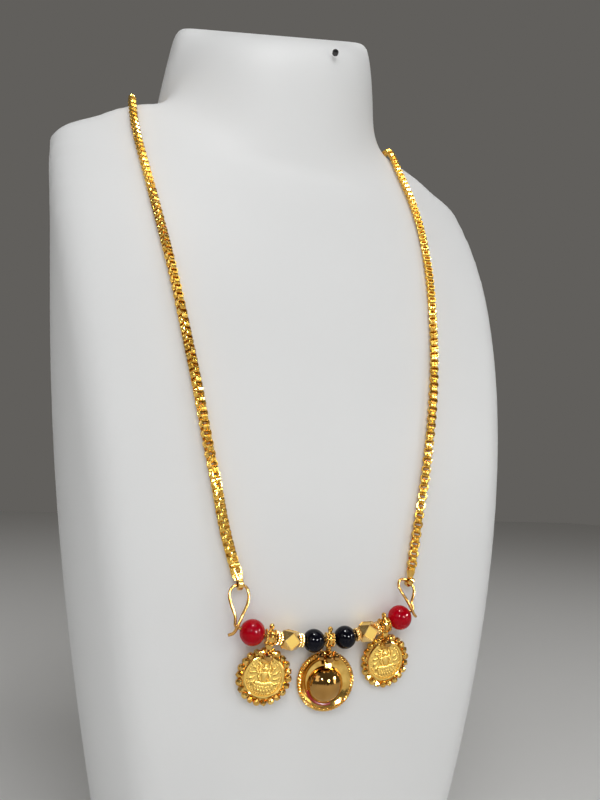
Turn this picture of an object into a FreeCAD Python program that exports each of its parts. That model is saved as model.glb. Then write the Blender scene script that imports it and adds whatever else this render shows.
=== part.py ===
"""Thali necklace on a white neck bust, in millimetres.

Origin: centre of the bust's flat base. +Z is up and the chest faces -Y.
The necklace is a closed loop: bead wire with two hooks, and a two-part chain behind the neck.
"""
import FreeCAD, Part
import math
import os
from collections import namedtuple

os.makedirs("parts", exist_ok=True)
V = FreeCAD.Vector
X_AXIS, Y_AXIS, Z_AXIS = V(1, 0, 0), V(0, 1, 0), V(0, 0, 1)

# Bust: horizontal sections of the torso, radii of the neck, outline of the shoulders
BustRow = namedtuple("BustRow", "z half_width side_r mid_y front_y back_y")
BUST_ROWS = [
    BustRow(0, 55.0, 15, -35, -57, 60),
    BustRow(85, 74.0, 15, -42, -61.3, 76),
    BustRow(170, 89.3, 15, -33.5, -55, 96),
    BustRow(255, 103.8, 15, 0, -26, 114),
    BustRow(340, 115.5, 15, 62, 24, 109),
]
NECK_Y = 52.0
NeckRow = namedtuple("NeckRow", "z x radius")
NECK_ROWS = [
    NeckRow(250, 0.0, 60.0), NeckRow(300, 0.5, 61.0), NeckRow(350, 3.5, 60.0),
    NeckRow(400, 6.0, 54.5), NeckRow(450, 7.0, 51.0),
]
SHOULDER_OUTLINE = [
    (-150, -1), (-150, 273.5), (-109, 297.5), (-50, 330), (50, 330), (109, 297.5), (150, 273.5), (150, -1),
]
NECK_TOP, NECK_TOP_NORMAL = V(0, 41, 390.1), V(-0.222, -0.729, 1)
NECK_RIM_R = 5.0
LABEL_HOLE = V(19.7, -4.7, 355)
LABEL_HOLE_D = 2.3

# Wire of the bead row: a shallow arc, tilted because the left chain is a little longer
ROW_MID = V(-1.64, -65.5, 89.96)
ROW_ARC_R = 78.0
ROW_TILT = 3.03
WIRE_D = 1.0
BEAD_BORE = 1.5
BAIL_BORE = 2.0

# Places along the wire from its middle, the same on both sides
BLACK_AT, BLACK_D = 5.75, 7.6
INNER_SPACER_AT, OUTER_SPACER_AT = 10.5, 18.22
SPACER_LENGTH, SPACER_D = 1.65, 4.4
FACETED_AT, FACETED_ACROSS = 14.4, 5.7
BAIL_AT = 21.35
RED_AT, RED_D = 27.85, 8.4
WIRE_ARC_END = 32.3

# Hooks of the wire, from the curled tail to the corner just outside the red bead
HOOK_LEFT = [
    V(-37.4, -66.2, 93.1), V(-35.8, -66.8, 93.6), V(-34.5, -66.95, 95.8), V(-33.1, -66.5, 99.0),
    V(-31.0, -65.0, 102.2), V(-30.3, -63.8, 105.2), V(-31.0, -62.9, 107.6), V(-33.5, -62.6, 108.3),
    V(-36.2, -62.9, 107.5), V(-37.1, -63.5, 104.8), V(-36.1, -64.4, 101.4), V(-34.9, -65.1, 98.4),
]
HOOK_RIGHT = [
    V(31.5, -66.1, 96.6), V(30.3, -67.0, 97.4), V(28.9, -67.1, 99.8), V(27.5, -66.6, 102.4),
    V(26.8, -65.0, 104.2), V(25.6, -63.8, 106.8), V(26.3, -63.0, 108.9), V(28.5, -62.7, 109.2),
    V(31.2, -62.6, 107.9), V(32.5, -63.2, 105.8), V(31.5, -64.3, 103.4), V(30.2, -65.0, 101.1),
]
HOOK_CORNER = 1.9

# Chain: centre line of each half, from its end cap up over the shoulder to the back of the neck
CHAIN_D = 3.0
CHAIN_LEFT = [
    V(-34.5, -62.3, 111.9), V(-37.2, -61.4, 119.9), V(-39.6, -60.7, 128.3), V(-42.1, -59.5, 140.4),
    V(-44.8, -57.9, 151.5), V(-47.2, -55.8, 163.1), V(-49.7, -52.9, 176.5), V(-52.3, -49.7, 188.7),
    V(-55.1, -45.3, 203.0), V(-58.1, -39.5, 218.7), V(-61.5, -32.5, 235.1), V(-65.2, -23.2, 253.9),
    V(-69.0, -11.3, 274.6), V(-71.9, 0.1, 292.6), V(-73.2, 8.5, 306.0), V(-73.6, 17.2, 319.9),
    V(-72.6, 28.0, 320.9), V(-69.9, 43.0, 321.9), V(-66.4, 57.0, 323.6), V(-62.6, 69.0, 325.9),
    V(-56.9, 80.8, 329.2), V(-48.4, 92.9, 332.6), V(-36.3, 104.0, 333.0), V(-21.6, 111.6, 333.0),
    V(-9.0, 115.2, 333.0), V(0, 115.2, 333.0),
]
CHAIN_RIGHT = [
    V(31.5, -62.4, 111.9), V(33.3, -61.7, 120.8), V(35.2, -61.0, 129.6), V(38.8, -59.4, 143.4),
    V(41.7, -57.5, 156.3), V(44.8, -54.8, 170.0), V(48.2, -50.8, 186.3), V(51.1, -46.3, 201.2),
    V(54.2, -39.9, 219.3), V(57.8, -31.1, 239.8), V(61.0, -20.4, 261.0), V(62.2, -12.4, 275.4),
    V(62.7, -4.4, 289.2), V(62.8, 7.5, 308.0), V(63.1, 18.3, 325.7), V(63.8, 28.0, 325.8),
    V(64.8, 41.0, 325.4), V(65.5, 56.5, 325.2), V(63.8, 68.5, 326.6), V(57.4, 83.8, 329.2),
    V(47.3, 97.0, 332.6), V(34.1, 107.1, 333.0), V(21.0, 112.9, 333.0), V(9.0, 115.2, 333.0),
    V(0, 115.2, 333.0),
]
CAP_LENGTH, CAP_TOP_D, CAP_FOOT_D = 2.5, 3.3, 1.9
RING_DROP, RING_OUTER_D, RING_BORE, RING_WIDTH = 3.75, 4.0, 2.1, 1.7

# Coin pendant: struck disc in a ring of balls, on a spool-shaped bail
HangPose = namedtuple("HangPose", "pitch lean turn")
COIN_DROP = 13.1
COIN_LEFT, COIN_RIGHT = HangPose(5.0, 5.0, -8.0), HangPose(7.0, -8.2, 0.0)
COIN_D, COIN_BACK_D, COIN_BACK_Y = 13.6, 16.6, 2.2
COIN_BACK_T, COIN_FACE_T = 0.9, 0.5
BALL_COUNT, BALL_D, BALL_RING_R = 22, 2.2, 8.2
BAIL_LENGTH, BAIL_D = 3.6, 3.6
RELIEF_R, RELIEF_HEIGHT = 1.0, 0.3
RELIEF_BALLS = [(0, 3.1, 1.0), (0, 1.0, 1.3), (-2.1, -1.3, 1.2), (2.1, -1.3, 1.2), (0, -1.8, 1.3)]

# Round pendant: domed disc with a rope rim, on a narrow bail
THALI_DROP, THALI_POSE = 13.95, HangPose(3.8, 1.5, -8.0)
THALI_RIM_R, THALI_ROPE_D = 9.2, 1.4
THALI_BACK_Y, THALI_DISH_R, DOME_R, DOME_HEIGHT = 2.1, 8.5, 6.1, 3.5
THALI_BAIL_LENGTH = 3.0


def oval_section(row):
    """Closed oval of four tangent arcs: front, right side, back, left side."""
    flat = row.half_width - row.side_r

    def arc_radius(reach):
        return (flat * flat + reach * reach - row.side_r ** 2) / (2 * (reach - row.side_r))
    front_reach, back_reach = row.mid_y - row.front_y, row.back_y - row.mid_y
    front_r, back_r = arc_radius(front_reach), arc_radius(back_reach)
    front_turn = math.atan2(flat, front_r - front_reach)
    back_turn = math.atan2(flat, back_r - back_reach)

    def front(t):
        return V(front_r * math.sin(t), row.front_y + front_r * (1 - math.cos(t)), row.z)

    def back(t):
        return V(back_r * math.sin(t), row.back_y - back_r * (1 - math.cos(t)), row.z)

    def side(t, s):
        return V(s * (flat + row.side_r * math.sin(t)), row.mid_y - row.side_r * math.cos(t), row.z)
    middle = (front_turn + math.pi - back_turn) / 2
    arcs = [
        Part.Arc(front(-front_turn), front(0), front(front_turn)),
        Part.Arc(side(front_turn, 1), side(middle, 1), side(math.pi - back_turn, 1)),
        Part.Arc(back(back_turn), back(0), back(-back_turn)),
        Part.Arc(side(math.pi - back_turn, -1), side(middle, -1), side(front_turn, -1)),
    ]
    return Part.Wire([arc.toShape() for arc in arcs])


def neck_bust():
    """Torso and neck in one solid, with a slanted neck top and a small label hole."""
    torso = Part.makeLoft([oval_section(row) for row in BUST_ROWS], True, False)
    outline = Part.makePolygon([V(x, -150, z) for x, z in SHOULDER_OUTLINE + SHOULDER_OUTLINE[:1]])
    torso = torso.common(Part.Face(outline).extrude(V(0, 400, 0)))
    rings = [Part.Wire(Part.makeCircle(row.radius, V(row.x, NECK_Y, row.z), Z_AXIS)) for row in NECK_ROWS]
    bust = torso.fuse(Part.makeLoft(rings, True, False))
    waste = Part.makeBox(300, 300, 200, V(-150, -150, 0))
    waste.Placement = FreeCAD.Placement(NECK_TOP, FreeCAD.Rotation(Z_AXIS, NECK_TOP_NORMAL))
    bust = bust.cut(waste)

    def on_rim(edge):
        return abs((edge.CenterOfMass - NECK_TOP).dot(NECK_TOP_NORMAL)) < 3
    bust = bust.makeFillet(NECK_RIM_R, [edge for edge in bust.Edges if on_rim(edge)])
    hole = Part.makeCylinder(LABEL_HOLE_D / 2, 20, LABEL_HOLE - V(0, 10, 0), Y_AXIS)
    return bust.cut(hole)


def rounded_path(points):
    """Straight runs joined by tangent arcs, each as large as its two runs allow, and the arc radii."""
    edges, radii, start = [], [], points[0]
    for before, corner, after in zip(points, points[1:], points[2:]):
        inward, outward = before - corner, after - corner
        half_turn = (math.pi - inward.getAngle(outward)) / 2
        reach = 0.45 * min(inward.Length, outward.Length)
        radius = reach / math.tan(half_turn)
        inward, outward = inward.normalize(), outward.normalize()
        enter, leave = corner + inward * reach, corner + outward * reach
        middle = corner + (inward + outward).normalize() * radius * (1 / math.cos(half_turn) - 1)
        edges += [Part.LineSegment(start, enter).toShape(), Part.Arc(enter, middle, leave).toShape()]
        radii.append(radius)
        start = leave
    edges.append(Part.LineSegment(start, points[-1]).toShape())
    return edges, radii


def swept_rod(edges, direction, diameter):
    """Round rod along the edges, which begin in the given direction."""
    path = Part.Wire(edges)
    begin = edges[0].valueAt(edges[0].FirstParameter)
    profile = Part.Wire(Part.makeCircle(diameter / 2, begin, direction))
    rod = path.makePipeShell([profile], True, False)
    return rod


def row_point(along):
    """Point on the wire's arc in the frame of the necklace."""
    turn = along / ROW_ARC_R
    local = V(ROW_ARC_R * math.sin(turn), 0, ROW_ARC_R * (1 - math.cos(turn)))
    return ROW_MID + FreeCAD.Rotation(Y_AXIS, -ROW_TILT).multVec(local)


def row_direction(along):
    """Direction of the wire, towards the right, at a place along its arc."""
    return FreeCAD.Rotation(Y_AXIS, -ROW_TILT - math.degrees(along / ROW_ARC_R)).multVec(X_AXIS)


def on_row(shape, along):
    """Shape made around the X axis at the origin, moved on to the wire."""
    shape.rotate(V(0, 0, 0), Y_AXIS, -ROW_TILT - math.degrees(along / ROW_ARC_R))
    shape.translate(row_point(along))
    return shape


def bore(diameter, length):
    return Part.makeCylinder(diameter / 2, length, V(-length / 2, 0, 0), X_AXIS)


def bead_wire():
    """One wire through every bead, bent at each end into a tear-shaped hook with a curled tail."""
    corner_left = row_point(-WIRE_ARC_END) - row_direction(-WIRE_ARC_END) * HOOK_CORNER
    corner_right = row_point(WIRE_ARC_END) + row_direction(WIRE_ARC_END) * HOOK_CORNER
    left, _ = rounded_path(HOOK_LEFT + [corner_left, row_point(-WIRE_ARC_END)])
    right, _ = rounded_path([row_point(WIRE_ARC_END), corner_right] + HOOK_RIGHT[::-1])
    row = Part.Arc(row_point(-WIRE_ARC_END), row_point(0), row_point(WIRE_ARC_END)).toShape()
    return swept_rod(left + [row] + right, HOOK_LEFT[1] - HOOK_LEFT[0], WIRE_D)


def round_bead(diameter, along):
    ball = Part.makeSphere(diameter / 2, V(0, 0, 0), X_AXIS)
    return on_row(ball.cut(bore(BEAD_BORE, diameter + 2)), along)


def spacer(along):
    """Small rondelle: a ball cut flat on both ends."""
    ball = Part.makeSphere(SPACER_D / 2, V(0, 0, 0), X_AXIS)
    slab = Part.makeBox(SPACER_LENGTH, 10, 10, V(-SPACER_LENGTH / 2, -5, -5))
    return on_row(ball.common(slab).cut(bore(BEAD_BORE, SPACER_LENGTH + 2)), along)


def faceted_bead(along):
    """Six square and eight triangular faces; the wire runs through two of the squares."""
    h = FACETED_ACROSS / 2

    def face(points):
        return Part.Face(Part.makePolygon(points + points[:1]))
    faces = []
    for s in (-1, 1):
        faces += [
            face([V(s * h, h, 0), V(s * h, 0, h), V(s * h, -h, 0), V(s * h, 0, -h)]),
            face([V(h, s * h, 0), V(0, s * h, h), V(-h, s * h, 0), V(0, s * h, -h)]),
            face([V(h, 0, s * h), V(0, h, s * h), V(-h, 0, s * h), V(0, -h, s * h)]),
        ]
        for t in (-1, 1):
            for u in (-1, 1):
                faces.append(face([V(s * h, t * h, 0), V(0, t * h, u * h), V(s * h, 0, u * h)]))
    solid = Part.Solid(Part.Shell(faces))
    if solid.Volume < 0:
        solid.reverse()
    return on_row(solid.cut(bore(BEAD_BORE, FACETED_ACROSS + 2)), along)


def chain_half(points, label):
    """Plain tube along one half of the chain."""
    edges, radii = rounded_path(points)
    tube = swept_rod(edges, points[1] - points[0], CHAIN_D)
    length = sum(edge.Length for edge in edges)
    print(label, "length", round(length, 1), "radii", [round(r) for r in radii],
          "volume ratio", round(tube.Volume / (length * math.pi * CHAIN_D ** 2 / 4), 4))
    return tube


def chain_end(points, hook_direction):
    """Tapered cap under the chain's last link, soldered to a ring round the hook."""
    up = (points[1] - points[0]).normalize()
    cap = Part.makeCone(CAP_TOP_D / 2, CAP_FOOT_D / 2, CAP_LENGTH, points[0], up * -1)
    ring = Part.makeCylinder(RING_OUTER_D / 2, RING_WIDTH, V(0, 0, -RING_WIDTH / 2), Z_AXIS)
    ring = ring.makeFillet(0.35, [edge for edge in ring.Edges if abs(edge.Length - math.pi * RING_OUTER_D) < 0.01])
    ring = ring.cut(Part.makeCylinder(RING_BORE / 2, 10, V(0, 0, -5), Z_AXIS))
    ring.Placement = FreeCAD.Placement(points[0] - up * RING_DROP, FreeCAD.Rotation(Z_AXIS, hook_direction))
    return cap.fuse(ring).removeSplitter()


def hang(shape, along, pose):
    """Pendant made at the origin with its bail round the X axis, hung on the wire."""
    shape.rotate(V(0, 0, 0), Z_AXIS, pose.turn)
    shape.rotate(V(0, 0, 0), X_AXIS, pose.pitch)
    shape.rotate(V(0, 0, 0), Y_AXIS, pose.lean)
    shape.translate(row_point(along))
    return shape


def bail_body(length, waist):
    """Spool round the wire with a strap at its waist and a small ball on top."""
    half = length / 2
    spool = Part.makeCylinder(BAIL_D / 2, length, V(-half, 0, 0), X_AXIS)
    spool = spool.fuse([
        Part.makeCylinder(BAIL_D / 2 + 0.35, waist, V(-waist / 2, 0, 0), X_AXIS),
        Part.makeCone(0.9, 0.4, 1.5, V(0, 0, BAIL_D / 2 - 0.6), Z_AXIS),
        Part.makeSphere(0.75, V(0, 0, BAIL_D / 2 + 1.35)),
    ])
    return spool


def coin_pendant(along, pose):
    """Struck disc with a raised seated figure, a ring of balls, and its soldered bail."""
    centre = V(0, COIN_BACK_Y, -COIN_DROP)
    front = COIN_BACK_Y - COIN_BACK_T - COIN_FACE_T
    pieces = [
        Part.makeCylinder(COIN_D / 2, COIN_BACK_T + COIN_FACE_T, centre, -Y_AXIS),
        Part.makeTorus(COIN_D / 2, 0.35, V(0, front, -COIN_DROP), Y_AXIS),
    ]
    for k in range(BALL_COUNT):
        turn = 2 * math.pi * (k + 0.5) / BALL_COUNT
        at = V(BALL_RING_R * math.sin(turn), front + 0.4, -COIN_DROP + BALL_RING_R * math.cos(turn))
        pieces.append(Part.makeSphere(BALL_D / 2, at, Y_AXIS))
    sink = RELIEF_R - RELIEF_HEIGHT
    for x, z, r in RELIEF_BALLS:
        pieces.append(Part.makeSphere(r, V(x, front + sink * r, -COIN_DROP + z), Y_AXIS))
    pieces += [
        bail_body(BAIL_LENGTH, 1.3),
        Part.makeCone(0.95, 0.75, 4.4, V(0, 0.2, -1.4), V(0, 0.12, -1)),
        Part.makeSphere(1.05, V(0, 0.3, -5.7)),
        Part.makeSphere(0.8, V(-1.7, 0.75, -5.5)),
        Part.makeSphere(0.8, V(1.7, 0.75, -5.5)),
    ]
    plate = Part.makeCylinder(COIN_BACK_D / 2, COIN_BACK_T, centre, -Y_AXIS)
    return hang(plate.fuse(pieces).cut(bore(BAIL_BORE, 8)), along, pose)


def thali_pendant():
    """Domed disc with a concave dish and a rope rim, and its soldered bail with three balls."""
    floor_y, rim_y = THALI_BACK_Y - 0.6, THALI_BACK_Y - 1.1
    foot, top = V(DOME_R, floor_y, 0), V(0, floor_y - DOME_HEIGHT, 0)
    dome_r = (DOME_R ** 2 + DOME_HEIGHT ** 2) / (2 * DOME_HEIGHT)
    half = math.asin(DOME_R / dome_r) / 2
    shoulder = V(dome_r * math.sin(half), top.y + dome_r * (1 - math.cos(half)), 0)
    outline = [
        Part.LineSegment(V(0, THALI_BACK_Y, 0), V(THALI_RIM_R, THALI_BACK_Y, 0)).toShape(),
        Part.LineSegment(V(THALI_RIM_R, THALI_BACK_Y, 0), V(THALI_RIM_R, rim_y, 0)).toShape(),
        Part.LineSegment(V(THALI_RIM_R, rim_y, 0), V(THALI_DISH_R, rim_y, 0)).toShape(),
        Part.LineSegment(V(THALI_DISH_R, rim_y, 0), foot).toShape(),
        Part.Arc(foot, shoulder, top).toShape(),
        Part.LineSegment(top, V(0, THALI_BACK_Y, 0)).toShape(),
    ]
    disc = Part.Face(Part.Wire(outline)).revolve(V(0, 0, 0), Y_AXIS, 360)
    rope = Part.makeTorus(THALI_RIM_R, THALI_ROPE_D / 2, V(0, THALI_BACK_Y - 0.7, 0), Y_AXIS)
    disc = disc.fuse(rope)
    disc.translate(V(0, 0, -THALI_DROP))
    pieces = [
        bail_body(THALI_BAIL_LENGTH, 1.2),
        Part.makeCone(0.9, 0.75, 3.6, V(0, 0.1, -1.4), V(0, 0.08, -1)),
        Part.makeSphere(0.95, V(0, -0.1, -4.8)),
        Part.makeSphere(0.9, V(-2.0, 0.4, -4.9)),
        Part.makeSphere(0.9, V(2.0, 0.4, -4.9)),
        Part.makeBox(4.6, 1.1, 4.2, V(-2.3, 0.4, -8.8)),
    ]
    return hang(disc.fuse(pieces).cut(bore(BAIL_BORE, 8)), 0, THALI_POSE)


NODES = {
    "neck_bust": neck_bust(),
    "bead_wire": bead_wire(),
    "chain_left": chain_half(CHAIN_LEFT, "chain_left"),
    "chain_right": chain_half(CHAIN_RIGHT, "chain_right"),
    "chain_end_left": chain_end(CHAIN_LEFT, HOOK_LEFT[8] - HOOK_LEFT[6]),
    "chain_end_right": chain_end(CHAIN_RIGHT, HOOK_RIGHT[9] - HOOK_RIGHT[7]),
    "coin_pendant_left": coin_pendant(-BAIL_AT, COIN_LEFT),
    "coin_pendant_right": coin_pendant(BAIL_AT, COIN_RIGHT),
    "thali_pendant": thali_pendant(),
}
for name, side in (("left", -1), ("right", 1)):
    NODES["red_bead_" + name] = round_bead(RED_D, side * RED_AT)
    NODES["black_bead_" + name] = round_bead(BLACK_D, side * BLACK_AT)
    NODES["faceted_bead_" + name] = faceted_bead(side * FACETED_AT)
    NODES["inner_spacer_" + name] = spacer(side * INNER_SPACER_AT)
    NODES["outer_spacer_" + name] = spacer(side * OUTER_SPACER_AT)
for name, shape in NODES.items():
    solids = shape.Solids
    (solids[0] if len(solids) == 1 else shape).exportStep("parts/" + name + ".step")
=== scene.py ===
import logging
import math
from dataclasses import dataclass
from enum import Enum
from typing import Any, Callable, Iterable, Optional, Sequence, Union

import bmesh
import bpy
from mathutils import Matrix, Vector


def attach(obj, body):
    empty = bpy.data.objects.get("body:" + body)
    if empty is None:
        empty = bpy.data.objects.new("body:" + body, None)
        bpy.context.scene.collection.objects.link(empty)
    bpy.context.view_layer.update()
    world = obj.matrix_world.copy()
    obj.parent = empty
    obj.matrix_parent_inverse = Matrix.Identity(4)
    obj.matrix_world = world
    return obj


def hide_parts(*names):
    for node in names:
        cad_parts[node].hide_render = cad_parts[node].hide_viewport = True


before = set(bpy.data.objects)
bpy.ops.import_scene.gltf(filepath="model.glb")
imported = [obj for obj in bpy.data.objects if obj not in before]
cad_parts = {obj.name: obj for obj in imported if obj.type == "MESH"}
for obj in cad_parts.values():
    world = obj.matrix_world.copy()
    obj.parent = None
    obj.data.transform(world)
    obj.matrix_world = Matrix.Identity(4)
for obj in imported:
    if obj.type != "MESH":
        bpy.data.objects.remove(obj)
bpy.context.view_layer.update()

LOG = logging.getLogger("thali_necklace")
MM = 0.001
FULL_TURN = 2 * math.pi
ORIGIN = (0, 0, 0)
ALONG_X = (1, 0, 0)
ALONG_Y = (0, 1, 0)
ALONG_Z = (0, 0, 1)
FORWARD = (0, -1, 0)
Colour = tuple[float, float, float]
Pair = tuple[float, float]
Point = tuple[float, float, float]


class Side(Enum):
    """Which half of the necklace, as seen from the front."""

    LEFT = -1
    RIGHT = 1

    @property
    def word(self) -> str:
        """Ending of the node names on this side."""
        return self.name.lower()


class Signal:
    """A shader socket that can be used in Python expressions."""

    def __init__(self, shader: "Shader", socket: bpy.types.NodeSocket) -> None:
        """Wrap one output socket of a shader's node."""
        self.shader = shader
        self.socket = socket

    def _math(self, operation: str, first: Any, second: Any) -> "Signal":
        """Add a Math node for an operation on two values."""
        return self.shader.node("ShaderNodeMath", {"operation": operation},
                                {0: first, 1: second})

    def __add__(self, other: Any) -> "Signal":
        """Sum."""
        return self._math("ADD", self, other)

    __radd__ = __add__

    def __sub__(self, other: Any) -> "Signal":
        """Difference."""
        return self._math("SUBTRACT", self, other)

    def __rsub__(self, other: Any) -> "Signal":
        """Difference with the number first."""
        return self._math("SUBTRACT", other, self)

    def __mul__(self, other: Any) -> "Signal":
        """Product."""
        return self._math("MULTIPLY", self, other)

    __rmul__ = __mul__


class Shader:
    """One material and its nodes."""

    def __init__(self, name: str) -> None:
        """Start an empty material with an output."""
        self.material = bpy.data.materials.new(name)
        self.material.use_nodes = True
        self.tree = self.material.node_tree
        self.tree.nodes.clear()
        self.output = self.tree.nodes.new("ShaderNodeOutputMaterial")

    def node(self, kind: str, settings: dict[str, Any], inputs: dict[Union[int, str], Any],
             result: Union[int, str] = 0) -> Signal:
        """Add a node.

        Args:
            kind: Node type.
            settings: Properties, set before any socket.
            inputs: Values or signals by socket index or name.
            result: Output socket to hand back.

        Returns:
            The chosen output as a signal.
        """
        made = self.tree.nodes.new(kind)
        for key, value in settings.items():
            setattr(made, key, value)
        for key, value in inputs.items():
            if isinstance(value, Signal):
                self.tree.links.new(value.socket, made.inputs[key])
            else:
                made.inputs[key].default_value = value
        return Signal(self, made.outputs[result])

    def place(self) -> Signal:
        """Object coordinates."""
        return self.node("ShaderNodeTexCoord", {}, {}, "Object")

    def noise(self, scale: float, detail: float = 2.0) -> Signal:
        """Noise on Object coordinates, with its scale per metre."""
        return self.node("ShaderNodeTexNoise", {},
                         {"Vector": self.place(), "Scale": scale, "Detail": detail})

    def mix(self, factor: Any, first: Colour, second: Colour) -> Signal:
        """Blend two colours."""
        return self.node("ShaderNodeMix", {"data_type": "RGBA"},
                         {0: factor, 6: (*first, 1.0), 7: (*second, 1.0)}, 2)

    def ramp(self, factor: Signal, low: float, high: float) -> Signal:
        """Stretch a value so that low becomes zero and high becomes one."""
        return self.node("ShaderNodeMapRange", {"clamp": True},
                         {0: factor, 1: low, 2: high, 3: 0.0, 4: 1.0})

    def bump(self, height: Signal, distance: float, strength: float = 1.0) -> Signal:
        """Normal from a height in metres."""
        return self.node("ShaderNodeBump", {},
                         {"Height": height, "Distance": distance, "Strength": strength})

    def close(self, **sockets: Any) -> bpy.types.Material:
        """Finish with a Principled shader whose sockets are named with underscores for spaces."""
        named = {key.replace("_", " "): value for key, value in sockets.items()}
        surface = self.node("ShaderNodeBsdfPrincipled", {}, named)
        self.tree.links.new(surface.socket, self.output.inputs["Surface"])
        return self.material


@dataclass(frozen=True)
class GoldFinish:
    """Gold-plated metal with slight changes of tone and tiny dents."""

    name: str
    light: Colour
    deep: Colour
    roughness: float
    dents: float
    grain: float = 900.0
    tone_share: float = 0.35
    tone_range: Pair = (0.35, 0.65)
    smear_share: float = 0.8
    dent_share: float = 1.3
    swing: float = 0.7

    def make(self) -> bpy.types.Material:
        """Build the material."""
        shader = Shader(self.name)
        tone = shader.ramp(shader.noise(self.grain * self.tone_share), *self.tone_range)
        smear = shader.noise(self.grain * self.smear_share, 3.0)
        dent = shader.noise(self.grain * self.dent_share, 3.0)
        return shader.close(
            Base_Color=shader.mix(tone, self.light, self.deep), Metallic=1.0,
            Roughness=self.roughness + (smear - 0.5) * self.roughness * self.swing,
            Normal=shader.bump(dent, self.dents))


@dataclass(frozen=True)
class GlossBead:
    """Glossy coloured bead with faint clouding."""

    name: str
    colour: Colour
    cloud: Colour
    cloud_scale: float = 320.0
    cloud_range: Pair = (0.3, 0.75)
    skin_scale: float = 900.0
    skin_depth: float = 0.00001
    polish: float = 0.015
    polish_swing: float = 0.02
    polish_scale: float = 1500.0

    def make(self) -> bpy.types.Material:
        """Build the material."""
        shader = Shader(self.name)
        tone = shader.ramp(shader.noise(self.cloud_scale), *self.cloud_range)
        skin = shader.noise(self.skin_scale, 1.0)
        return shader.close(
            Base_Color=shader.mix(tone, self.colour, self.cloud),
            Roughness=self.polish + self.polish_swing * shader.noise(self.polish_scale),
            IOR=1.33, Specular_IOR_Level=0.3, Normal=shader.bump(skin, self.skin_depth))


@dataclass(frozen=True)
class BustCover:
    """Satin white covering with a very fine leather grain."""

    name: str = "satin_white_cover"
    light: Colour = (0.83, 0.84, 0.845)
    shade: Colour = (0.79, 0.80, 0.805)
    cloud_scale: float = 9.0
    cloud_range: Pair = (0.3, 0.7)
    grain_scale: float = 900.0
    pore_scale: float = 400.0
    pore_share: float = 0.6
    grain_depth: float = 0.00003
    grain_strength: float = 0.35
    satin: float = 0.46
    satin_swing: float = 0.08
    satin_scale: float = 60.0

    def make(self) -> bpy.types.Material:
        """Build the material."""
        shader = Shader(self.name)
        cloud = shader.ramp(shader.noise(self.cloud_scale), *self.cloud_range)
        grain = shader.node("ShaderNodeTexVoronoi", {"feature": "DISTANCE_TO_EDGE"},
                            {"Vector": shader.place(), "Scale": self.grain_scale})
        skin = grain + self.pore_share * shader.noise(self.pore_scale)
        return shader.close(
            Base_Color=shader.mix(cloud, self.light, self.shade),
            Roughness=self.satin + self.satin_swing * shader.noise(self.satin_scale),
            Specular_IOR_Level=0.06,
            Normal=shader.bump(skin, self.grain_depth, self.grain_strength))


@dataclass(frozen=True)
class StruckFace:
    """Satin struck face of a coin, with painted shade: darker where the relief begins to rise."""

    name: str = "struck_coin_face"
    light: Colour = (0.84, 0.58, 0.15)
    # low: painted shade colour for the foot of the relief.
    low: Colour = (0.36, 0.18, 0.03)
    rise_starts: Pair = (0.01, 0.05)
    rise_ends: Pair = (0.12, 0.24)
    foot_shade_share: float = 0.85
    grit_scale: float = 5200.0
    grit_depth: float = 0.00002
    satin: float = 0.30
    satin_swing: float = 0.12

    def make(self) -> bpy.types.Material:
        """Build the material from the relief attribute of the mesh."""
        shader = Shader(self.name)
        height = shader.node("ShaderNodeAttribute", {"attribute_name": "relief"}, {}, "Fac")
        grit = shader.noise(self.grit_scale)
        # Painted shade: a band on the lower slopes of the relief, where it rises from the field,
        # is mixed towards the dark low colour.
        edge = (shader.ramp(height, *self.rise_starts)
                * (1 - shader.ramp(height, *self.rise_ends)))
        return shader.close(
            Base_Color=shader.mix(edge * self.foot_shade_share, self.light, self.low), Metallic=1.0,
            Roughness=self.satin + self.satin_swing * grit,
            Normal=shader.bump(grit, self.grit_depth))


@dataclass(frozen=True)
class LacFill:
    """Dark red lac that shows in a thin line under the dome."""

    name: str = "red_lac_fill"
    colour: Colour = (0.30, 0.0, 0.004)
    cloud: Colour = (0.38, 0.0, 0.008)
    scale: float = 1400.0
    satin: float = 0.25
    satin_swing: float = 0.1

    def make(self) -> bpy.types.Material:
        """Build the material."""
        shader = Shader(self.name)
        tone = shader.noise(self.scale)
        return shader.close(Base_Color=shader.mix(tone, self.colour, self.cloud),
                            Roughness=self.satin + self.satin_swing * tone)


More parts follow.
